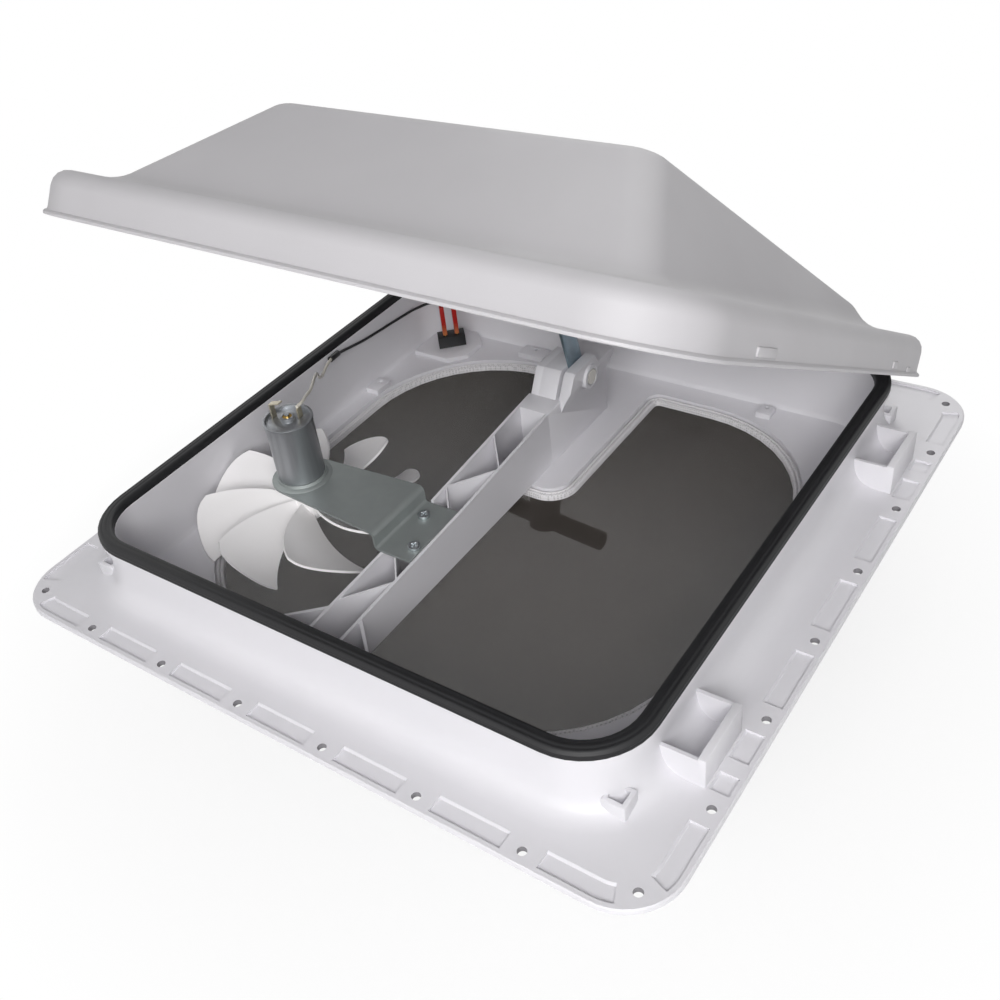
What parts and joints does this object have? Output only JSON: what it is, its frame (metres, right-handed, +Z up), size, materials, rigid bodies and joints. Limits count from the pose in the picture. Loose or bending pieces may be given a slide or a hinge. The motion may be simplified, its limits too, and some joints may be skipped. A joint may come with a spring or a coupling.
{
  "type": "caravan roof vent",
  "caption": "Square flanged caravan roof vent with a domed hinged lid raised by a cranked arm, an electric fan on a bracket and an insect screen.",
  "frame": {"origin": "centre of the square flange, on the underside that lies on the roof", "axes": "+Z up out of the roof, +Y towards the lid's hinge, +X to the right seen from the front"},
  "size_m": [0.444, 0.444, 0.3202],
  "materials": {
    "white_plastic": "satin moulded",
    "lid_white": "satin moulded",
    "gasket_rubber": "matt, fine ribs",
    "screen_grey": "matt",
    "screen_mesh": "woven coated yarn",
    "black_plastic": "satin",
    "brass_tab": "plain",
    "red_sleeve": "glossy vinyl",
    "zinc_sheet": "zinc plated",
    "bright_steel": "plated",
    "can_steel": "drawn, plated",
    "ferrite": "matt",
    "terminal_cream": "sleeved tab",
    "copper": "turned",
    "fan_white": "satin moulded",
    "wire_white": "vinyl",
    "wire_black": "vinyl",
    "nylon": "satin",
    "crank_dark": "matt"
  },
  "bodies": {
    "base": {"base_frame": "white_plastic", "rim_gasket": "gasket_rubber", "cross_beam": "white_plastic", "operator_housing": "white_plastic", "operator_cover": "white_plastic", "crank_bushing": "white_plastic", "screen_frame": "screen_grey", "insect_screen": "screen_mesh", "screen_clips": "white_plastic", "switch_plate": "white_plastic", "switch_body": "black_plastic", "switch_blades": "brass_tab", "spade_sleeves": "red_sleeve", "motor_bracket": "zinc_sheet", "bracket_screws": "bright_steel", "motor_can": "can_steel", "motor_end_cap": "can_steel", "motor_magnets": "ferrite", "motor_bushes": "brass_tab", "motor_brushes": "ferrite", "motor_terminals": "terminal_cream", "motor_screws": "bright_steel", "white_wire": "wire_white", "black_wire": "wire_black", "wire_splice": "wire_black", "hinge_pins": "bright_steel"},
    "lid": {"lid_dome": "lid_white", "lift_rail": "white_plastic", "rail_screws": "bright_steel"},
    "lift_arm": {"lift_arm": "zinc_sheet", "worm_wheel": "nylon", "pivot_pin": "nylon", "roller_pin": "bright_steel"},
    "roller": {"arm_roller": "nylon"},
    "crank": {"worm": "bright_steel", "crank_shaft": "bright_steel", "crank_handle": "crank_dark", "crank_screw": "bright_steel"},
    "fan": {"motor_shaft": "bright_steel", "motor_rotor": "can_steel", "commutator": "copper", "fan_blades": "fan_white"},
    "rocker": {"switch_rocker": "black_plastic"}
  },
  "joints": [
    {"name": "lid_hinge", "type": "hinge", "parent": "base", "child": "lid", "pos_m": [0, 0.2034, 0.0325], "axis": [-1, 0, 0], "range_deg": [-31.2, 18.8]},
    {"name": "arm_pivot", "type": "hinge", "parent": "base", "child": "lift_arm", "pos_m": [0, 0.0985, 0.037], "axis": [-1, 0, 0], "range_deg": [-59.29, 35.73]},
    {"name": "crank_turn", "type": "hinge", "parent": "base", "child": "crank", "pos_m": [-0.0105, 0.08539, 0.04061], "axis": [0, 0.2656, 0.9641], "range_deg": [-1185.7, 714.5]},
    {"name": "roller_spin", "type": "hinge", "parent": "lift_arm", "child": "roller", "pos_m": [0, 0.06744, 0.15291], "axis": [1, 0, 0], "continuous": true},
    {"name": "fan_spin", "type": "hinge", "parent": "base", "child": "fan", "pos_m": [-0.1025, -0.069, 0], "axis": [0, 0, 1], "continuous": true},
    {"name": "rocker_tilt", "type": "hinge", "parent": "base", "child": "rocker", "pos_m": [-0.1503, 0.1536, -0.012], "axis": [-0.6691, 0.7431, 0], "range_deg": [0, 18]}
  ],
  "couplings": [
    {"joint": "arm_pivot", "follows": "lid_hinge", "ratio": 1.9},
    {"joint": "crank_turn", "follows": "lid_hinge", "ratio": 38}
  ]
}
